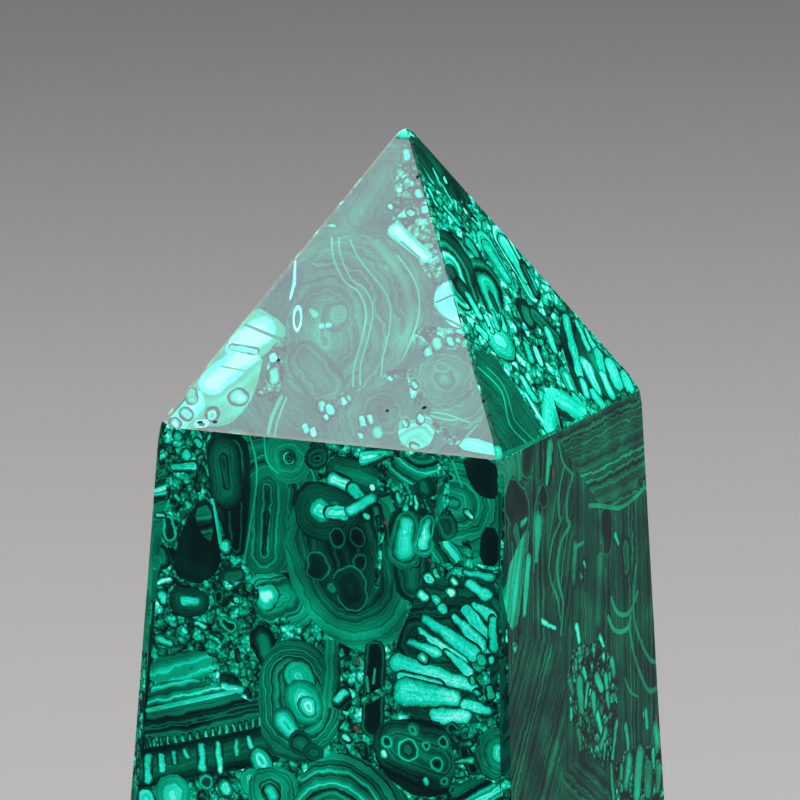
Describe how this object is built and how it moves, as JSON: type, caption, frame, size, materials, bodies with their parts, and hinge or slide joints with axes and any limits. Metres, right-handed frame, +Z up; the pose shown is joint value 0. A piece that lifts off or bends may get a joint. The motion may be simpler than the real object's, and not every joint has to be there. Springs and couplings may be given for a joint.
{
  "type": "malachite obelisk",
  "caption": "Polished malachite obelisk: a tapering square shaft with a four-sided pointed roof, cut from one stone.",
  "frame": {"origin": "middle of the flat base, on the surface that the obelisk stands on", "axes": "+Z up along the shaft towards the tip, -Y out of the front face, +X out of the right face"},
  "size_m": [0.0762, 0.0784, 0.254],
  "materials": {
    "malachite": "polished"
  },
  "bodies": {
    "root": {"obelisk": "malachite"}
  },
  "joints": []
}
